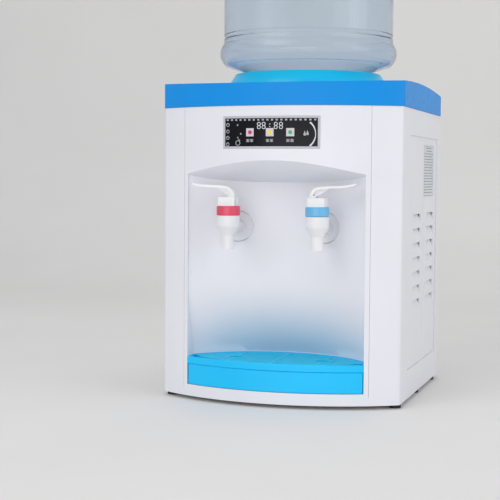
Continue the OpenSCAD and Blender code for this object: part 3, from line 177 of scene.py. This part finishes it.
def lamp(name, node, colour, pale):
    """Square light window, coloured in the middle where the lamp shines through."""
    m, tree, shader = new_material(name)
    low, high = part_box(node)
    centre = (low + high) / 2
    coords = tree.nodes.new("ShaderNodeTexCoord")
    flatten = tree.nodes.new("ShaderNodeVectorMath")
    flatten.operation = "MULTIPLY"
    flatten.inputs[1].default_value = (1, 0, 1)
    tree.links.new(coords.outputs["Object"], flatten.inputs[0])
    distance = tree.nodes.new("ShaderNodeVectorMath")
    distance.operation = "DISTANCE"
    distance.inputs[1].default_value = (centre.x, 0, centre.z)
    tree.links.new(flatten.outputs["Vector"], distance.inputs[0])
    fac = map_range(tree, distance.outputs["Value"], 0, 1, 0, (high.x - low.x) * 0.62)
    tone = ramp(tree, fac, [(0.0, colour), (0.34, colour), (0.48, pale), (1.0, pale)])
    tree.links.new(tone, shader.inputs["Base Color"])
    tree.links.new(tone, shader.inputs["Emission Color"])
    shader.inputs["Emission Strength"].default_value = 0.06
    vector = object_coords(tree)
    bump(tree, shader, noise(tree, vector, 1800, 2.0), 0.00002)
    tree.links.new(map_range(tree, noise(tree, vector, 300), 0.3, 0.5), shader.inputs["Roughness"])
    return m


def board_material():
    m, tree, shader = new_material("board")
    vector = object_coords(tree)
    traces = tree.nodes.new("ShaderNodeTexBrick")
    traces.inputs["Scale"].default_value = 260
    traces.inputs["Mortar Size"].default_value = 0.06
    traces.inputs["Color1"].default_value = (0.01, 0.09, 0.03, 1)
    traces.inputs["Color2"].default_value = (0.012, 0.11, 0.04, 1)
    traces.inputs["Mortar"].default_value = (0.05, 0.22, 0.09, 1)
    tree.links.new(vector, traces.inputs["Vector"])
    tree.links.new(traces.outputs["Color"], shader.inputs["Base Color"])
    tree.links.new(map_range(tree, noise(tree, vector, 200), 0.25, 0.45), shader.inputs["Roughness"])
    return m


def foam_material():
    m, tree, shader = new_material("foam")
    vector = object_coords(tree)
    cells = tree.nodes.new("ShaderNodeTexVoronoi")
    cells.inputs["Scale"].default_value = 420
    tree.links.new(vector, cells.inputs["Vector"])
    tone = ramp(tree, cells.outputs["Distance"], [(0.0, (0.62, 0.60, 0.52)), (1.0, (0.80, 0.78, 0.70))])
    tree.links.new(tone, shader.inputs["Base Color"])
    bump(tree, shader, cells.outputs["Distance"], 0.0006)
    shader.inputs["Roughness"].default_value = 0.9
    return m


def floor_material():
    m, tree, shader = new_material("studio floor")
    vector = object_coords(tree)
    tone = ramp(tree, noise(tree, vector, 3, 3.0), [(0.3, (0.80, 0.79, 0.77)), (0.7, (0.83, 0.82, 0.80))])
    tree.links.new(tone, shader.inputs["Base Color"])
    shader.inputs["Roughness"].default_value = 0.75
    return m


WHITE = (0.80, 0.805, 0.85)
materials = {
    "body": plastic("body white", WHITE, 0.42, grain=0.000003, mottle=0.012, coat=0.1),
    "lid": plastic("lid blue", (0.0, 0.275, 0.76), 0.42, grain=0.000002, spec=0.25),
    "collar": plastic("collar blue", (0.0, 0.62, 0.95), 0.34, grain=0.000002, coat=0.1, spec=0.4),
    "tray": plastic("tray blue", (0.0, 0.55, 0.98), 0.40, grain=0.000002, coat=0.1, spec=0.4),
    "grid": plastic("grid blue", (0.02, 0.68, 1.0), 0.40, grain=0.000002, coat=0.1, spec=0.4),
    "tap": plastic("tap white", (0.82, 0.82, 0.84), 0.35),
    "cap": plastic("cap white", (0.84, 0.85, 0.86), 0.33),
    "red": plastic("ring red", (0.76, 0.065, 0.13), 0.36, coat=0.1),
    "blue": plastic("ring blue", (0.14, 0.47, 0.78), 0.36, coat=0.1),
    "frame": plastic("display frame", (0.52, 0.52, 0.58), 0.38),
    "window": plastic("display window", (0.003, 0.003, 0.006), 0.25, grain=0.000002, spec=0.2),
    "ink": plastic("display print", (0.72, 0.75, 0.80), 0.5),
    "grey ink": plastic("dim print", (0.42, 0.44, 0.48), 0.5),
    "label": plastic("label film", (0.70, 0.72, 0.76), 0.45),
    "label ink": plastic("label print", (0.20, 0.21, 0.24), 0.6),
    "rubber": plastic("rubber", (0.014, 0.014, 0.015), 0.75, grain=0.00006, grain_scale=1400, mottle=0.2),
    "black": plastic("black plastic", (0.02, 0.02, 0.022), 0.5, grain=0.00004, grain_scale=1800, mottle=0.15),
    "natural": plastic("natural plastic", (0.68, 0.72, 0.74), 0.4),
    "silicone": plastic("silicone", (0.62, 0.63, 0.60), 0.5),
    "rocker": plastic("rocker red", (0.45, 0.02, 0.02), 0.3, coat=0.3),
    "steel": metal("steel", (0.62, 0.62, 0.64), 0.28),
    "heater": metal("heater band", (0.36, 0.29, 0.22), 0.5),
    "bottle": clear_bottle(),
    "board": board_material(),
    "foam": foam_material(),
    "floor": floor_material(),
}
PALE = (0.60, 0.55, 0.60)
materials["lamp red"] = lamp("lamp red", "light_red", (0.58, 0.02, 0.09), PALE)
materials["lamp yellow"] = lamp("lamp yellow", "light_yellow", (0.80, 0.66, 0.05), PALE)
materials["lamp green"] = lamp("lamp green", "light_green", (0.02, 0.42, 0.12), PALE)

LOOKS = {
    "body": ["base_pan", "front_panel", "side_shell_right", "side_shell_left", "rear_panel"],
    "lid": ["top_lid", "drain_cap"],
    "collar": ["bottle_collar"],
    "tray": ["drip_tray"],
    "grid": ["drip_grid"],
    "tap": ["tap_body_hot", "tap_body_cold", "tap_nuts"],
    "cap": ["tap_cap_hot", "tap_cap_cold", "lever_hot", "lever_cold"],
    "red": ["tap_ring_hot"],
    "blue": ["tap_ring_cold"],
    "frame": ["display_bezel"],
    "window": ["display_window", "digit_display"],
    "label": ["rating_label"],
    "rubber": ["rubber_feet", "tap_washers"],
    "black": ["switch_housing", "cable_gland", "thermostats"],
    "natural": ["bottle_cap", "feed_probe", "reservoir", "reservoir_lid", "drain_spigot", "terminal_block"],
    "silicone": ["tap_seal_hot", "tap_seal_cold", "cold_hose", "hot_hose", "tank_hoses", "drain_hose"],
    "rocker": ["switch_rocker"],
    "steel": [
        "base_screws", "rear_screws", "bracket_screws", "lever_pins", "tap_stem_hot", "tap_stem_cold",
        "tap_spring_hot", "tap_spring_cold", "hot_tank", "tank_bracket",
    ],
    "heater": ["heater_band"],
    "bottle": ["bottle"],
    "board": ["display_board"],
    "foam": ["tank_insulation"],
    "lamp red": ["light_red"],
    "lamp yellow": ["light_yellow"],
    "lamp green": ["light_green"],
}


# ------------------------------------------------------------------ shading of the CAD meshes


def smooth_group():
    """Geometry nodes that shade smooth except across edges sharper than a given angle."""
    g = bpy.data.node_groups.new("smooth below angle", "GeometryNodeTree")
    g.interface.new_socket("Geometry", in_out="INPUT", socket_type="NodeSocketGeometry")
    g.interface.new_socket("Angle", in_out="INPUT", socket_type="NodeSocketFloat")
    g.interface.new_socket("Geometry", in_out="OUTPUT", socket_type="NodeSocketGeometry")
    given = g.nodes.new("NodeGroupInput")
    result = g.nodes.new("NodeGroupOutput")
    angle = g.nodes.new("GeometryNodeInputMeshEdgeAngle")
    above = g.nodes.new("FunctionNodeCompare")
    above.operation = "GREATER_THAN"
    faces = g.nodes.new("GeometryNodeSetShadeSmooth")
    faces.domain = "FACE"
    edges = g.nodes.new("GeometryNodeSetShadeSmooth")
    edges.domain = "EDGE"
    edges.inputs["Shade Smooth"].default_value = False
    g.links.new(given.outputs["Geometry"], faces.inputs["Geometry"])
    g.links.new(faces.outputs["Geometry"], edges.inputs["Geometry"])
    g.links.new(angle.outputs["Unsigned Angle"], above.inputs["A"])
    g.links.new(given.outputs["Angle"], above.inputs["B"])
    g.links.new(above.outputs["Result"], edges.inputs["Selection"])
    g.links.new(edges.outputs["Geometry"], result.inputs["Geometry"])
    return g


SMOOTH = smooth_group()
ANGLE_SOCKET = SMOOTH.interface.items_tree[1 if SMOOTH.interface.items_tree[1].name == "Angle" else 2].identifier
BEVELS = {
    "top_lid": 1.8,
    "drip_tray": 1.0,
    "front_panel": 0.5,
    "side_shell_right": 0.35,
    "side_shell_left": 0.35,
    "base_pan": 0.5,
    "tap_ring_hot": 0.3,
    "tap_ring_cold": 0.3,
    "lever_hot": 0.5,
    "lever_cold": 0.5,
    "display_bezel": 0.3,
}


def finish_mesh(obj, bevel=0.0, angle=35):
    custom = obj.data.attributes.get("custom_normal")
    if custom is not None:
        obj.data.attributes.remove(custom)
    weld = obj.modifiers.new("weld", "WELD")
    weld.merge_threshold = 0.000002
    if bevel:
        b = obj.modifiers.new("bevel", "BEVEL")
        b.width = bevel * MM
        b.segments = 3
        b.limit_method = "ANGLE"
        b.angle_limit = math.radians(angle)
    s = obj.modifiers.new("smooth", "NODES")
    s.node_group = SMOOTH
    s[ANGLE_SOCKET] = math.radians(angle)
    w = obj.modifiers.new("normals", "WEIGHTED_NORMAL")
    w.keep_sharp = True


for look, nodes in LOOKS.items():
    for name in nodes:
        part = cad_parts[name]
        part.data.materials.clear()
        part.data.materials.append(materials[look])
        finish_mesh(part, BEVELS.get(name, 0.0))


# ------------------------------------------------------------------ printed graphics


def print_mesh(name, loops, place, material, thickness=0.12 * MM):
    """Flat shapes, each a loop of 2-D points, laid on a surface by a placing function."""
    verts = []
    faces = []
    for loop in loops:
        start = len(verts)
        verts.extend(place(u, v) for u, v in loop)
        faces.append(list(range(start, start + len(loop))))
    mesh = bpy.data.meshes.new(name)
    mesh.from_pydata(verts, [], faces)
    mesh.update()
    obj = bpy.data.objects.new(name, mesh)
    bpy.context.scene.collection.objects.link(obj)
    mesh.materials.append(material)
    solid = obj.modifiers.new("thickness", "SOLIDIFY")
    solid.thickness = thickness
    solid.offset = 1
    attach(obj, "housing")
    return obj


def on_window(u, v):
    """Point on the display window, u across and v up from its middle."""
    r = window_r + TOUCH
    return (u, bow_cy - math.sqrt(r * r - u * u), window_z + v)


def on_label(u, v):
    return (label_high.x + TOUCH, label_low.y + u, label_low.z + v)


def box_loop(u, v, w, h):
    return [(u, v), (u + w, v), (u + w, v + h), (u, v + h)]


def stroke(points, width):
    """Quads that follow a line of points."""
    loops = []
    for (u0, v0), (u1, v1) in zip(points, points[1:]):
        length = math.hypot(u1 - u0, v1 - v0)
        nu = -(v1 - v0) / length * width / 2
        nv = (u1 - u0) / length * width / 2
        loops.append([(u0 - nu, v0 - nv), (u1 - nu, v1 - nv), (u1 + nu, v1 + nv), (u0 + nu, v0 + nv)])
    return loops


def arc_points(cu, cv, r, a0, a1, steps):
    return [
        (cu + r * math.cos(math.radians(a0 + (a1 - a0) * i / steps)),
         cv + r * math.sin(math.radians(a0 + (a1 - a0) * i / steps)))
        for i in range(steps + 1)
    ]


def figure_eight(u, v, w, h, t):
    """Round figure eight of a digital clock, as two rings one over the other."""
    r = (w - t) / 2
    lift = (h / 2 - t) / 2
    rings = []
    for level in (0, 1):
        cv = v + h / 4 + level * (h / 2 - t / 3)
        loop = [(cu, cv + (y - cv) * (lift + t / 4) / r) for cu, y in arc_points(u + w / 2, cv, r, 0, 360, 20)]
        rings += stroke(loop, t)
    return rings


def tapered(points, thin, thick):
    """Quads along a line of points, thick at both ends and thin in the middle."""
    loops = []
    last = len(points) - 1
    for i in range(last):
        share = abs(2 * (i + 0.5) / last - 1)
        loops += stroke(points[i:i + 2], thin + (thick - thin) * share)
    return loops


def display_graphics():
    mm = MM
    film = [box_loop((-55.5 + 5.7 * i) * mm, 13.8 * mm, 2.6 * mm, 1.9 * mm) for i in range(20)]
    print_mesh("display_film_row", film, on_window, materials["grey ink"])
    digits = []
    for start in (-15.9, -9.9, 5.0, 11.3):
        digits += figure_eight(start * mm, 3.9 * mm, 4.8 * mm, 8.3 * mm, 0.85 * mm)
    digits += [box_loop(-0.6 * mm, z * mm, 1.1 * mm, 1.1 * mm) for z in (6.0, 9.0)]
    print_mesh("display_digits", digits, on_window, materials["ink"])
    icons = []
    for z in (9.0, 1.2, -6.4, -14.0):
        icons += stroke(arc_points(-54.0 * mm, z * mm, 1.9 * mm, 0, 360, 20), 0.7 * mm)
        icons += stroke([(-54.0 * mm, z * mm), (-54.0 * mm, (z + 1.3) * mm)], 0.6 * mm)
    icons += stroke(arc_points(-41.0 * mm, 8.5 * mm, 0.6 * mm, 0, 360, 12), 0.9 * mm)
    icons += stroke(arc_points(-36.7 * mm, -1.7 * mm, 0.6 * mm, 0, 360, 12), 0.9 * mm)
    icons += stroke(arc_points(-40.7 * mm, -6.0 * mm, 0.6 * mm, 0, 360, 12), 0.7 * mm)
    icons += stroke(arc_points(-40.5 * mm, -12.6 * mm, 2.7 * mm, 0, 360, 24), 0.75 * mm)
    icons += tapered([(-38.4 * mm, -11.2 * mm), (-38.0 * mm, -9.4 * mm), (-40.2 * mm, -7.6 * mm)], 0.6 * mm, 1.0 * mm)
    print_mesh("display_icons", icons, on_window, materials["grey ink"])
    sweep = tapered(arc_points(36.7 * mm, -2.2 * mm, 17.9 * mm, 51, -51, 28), 0.8 * mm, 2.0 * mm)
    drops = []
    for u, v in ((42.0, -2.6), (45.2, -2.0)):
        drops.append(arc_points(u * mm, v * mm, 1.5 * mm, 150, 390, 18) + [(u * mm, (v + 4.4) * mm)])
    print_mesh("display_sweep", sweep, on_window, materials["ink"])
    print_mesh("display_drops", drops, on_window, materials["grey ink"])
    marks = []
    for i in (-1, 0, 1):
        for start in (-4.6, 0.3):
            u = (i * 24.9 + start) * mm
            for v in (-11.4, -10.1, -8.8):
                marks.append(box_loop(u, v * mm, 3.9 * mm, 0.65 * mm))
            marks.append(box_loop(u + 1.6 * mm, -11.4 * mm, 0.7 * mm, 3.2 * mm))
    print_mesh("display_captions", marks, on_window, materials["grey ink"])


def label_graphics():
    mm = MM
    width = label_high.y - label_low.y
    height = label_high.z - label_low.z
    lines = []
    rows = 17
    for i in range(rows):
        v = height - (5.0 + i * 3.6) * mm
        u = 4 * mm
        limit = width - 5 * mm
        if i < 2:
            u = 14 * mm
            limit = width - 16 * mm
        while u < limit - 2 * mm:
            w = random.uniform(2.5, 9.0) * mm
            w = min(w, limit - u)
            lines.append(box_loop(u, v, w, 1.2 * mm))
            u += w + random.uniform(1.0, 3.6) * mm
    lines += stroke([(2 * mm, 2 * mm), (width - 2 * mm, 2 * mm)], 0.5 * mm)
    lines += stroke([(2 * mm, height - 2 * mm), (width - 2 * mm, height - 2 * mm)], 0.5 * mm)
    lines += stroke([(2 * mm, 2 * mm), (2 * mm, height - 2 * mm)], 0.5 * mm)
    lines += stroke([(width - 2 * mm, 2 * mm), (width - 2 * mm, height - 2 * mm)], 0.5 * mm)
    print_mesh("label_lines", lines, on_label, materials["label ink"], 0.05 * mm)


display_graphics()
label_graphics()


# ------------------------------------------------------------------ stage, light and camera


def stage_floor():
    """Floor that curves up into a backdrop."""
    half = 3.0
    bend = 0.8
    back = 1.9
    profile = [(-4.0, 0.0)]
    profile += [
        (back - bend + bend * math.sin(math.radians(a)), bend - bend * math.cos(math.radians(a)))
        for a in range(0, 91, 5)
    ]
    profile.append((back, 4.0))
    verts = [(x, y, z) for y, z in profile for x in (-half, half)]
    faces = [[2 * i, 2 * i + 1, 2 * i + 3, 2 * i + 2] for i in range(len(profile) - 1)]
    mesh = bpy.data.meshes.new("stage")
    mesh.from_pydata(verts, [], faces)
    mesh.shade_smooth()
    obj = bpy.data.objects.new("stage", mesh)
    bpy.context.scene.collection.objects.link(obj)
    mesh.materials.append(materials["floor"])


def area_light(name, place, aim, size, power, colour=(1, 1, 1)):
    data = bpy.data.lights.new(name, "AREA")
    data.shape = "RECTANGLE"
    data.size = size[0]
    data.size_y = size[1]
    data.energy = power
    data.color = colour
    obj = bpy.data.objects.new(name, data)
    obj.location = place
    obj.rotation_euler = (Vector(aim) - Vector(place)).to_track_quat("-Z", "Y").to_euler()
    bpy.context.scene.collection.objects.link(obj)
    return obj


def studio_light():
    world = bpy.data.worlds.new("soft grey")
    world.use_nodes = True
    background = world.node_tree.nodes["Background"]
    background.inputs["Color"].default_value = (0.95, 0.96, 1.0, 1)
    background.inputs["Strength"].default_value = 0.56
    bpy.context.scene.world = world
    area_light("key", (-1.1, -2.2, 1.9), (0, 0, 0.25), (1.8, 1.8), 18)
    area_light("fill", (2.2, -0.9, 1.0), (0, 0, 0.25), (1.6, 1.8), 9)
    area_light("top", (0.0, 0.1, 2.2), (0, 0, 0.3), (1.4, 1.4), 8)
    area_light("low front", (0.1, -1.9, 0.12), (0, 0, 0.16), (1.6, 0.5), 7.5)
    area_light("right side", (2.0, -0.2, 0.5), (0.15, 0, 0.15), (1.0, 0.8), 3)


def photo_camera():
    """Camera placed and turned to the view the size was worked out from."""
    yaw = math.radians(17.82)
    pitch = math.radians(3.33)
    roll = math.radians(0.41)
    forward = Vector((-math.sin(yaw) * math.cos(pitch), math.cos(yaw) * math.cos(pitch), -math.sin(pitch)))
    level = Vector((math.cos(yaw), math.sin(yaw), 0))
    upward = level.cross(forward)
    right = math.cos(roll) * level + math.sin(roll) * upward
    up = -math.sin(roll) * level + math.cos(roll) * upward
    data = bpy.data.cameras.new("camera")
    data.lens = 91.57
    data.sensor_width = 36
    data.clip_end = 50
    obj = bpy.data.objects.new("camera", data)
    place = Matrix((right, up, -forward)).transposed().to_4x4()
    place.translation = Vector((0.44006, -1.59696, 0.27689))
    obj.matrix_world = place
    bpy.context.scene.collection.objects.link(obj)
    bpy.context.scene.camera = obj


stage_floor()
studio_light()
photo_camera()
bpy.context.scene.view_settings.view_transform = "Standard"
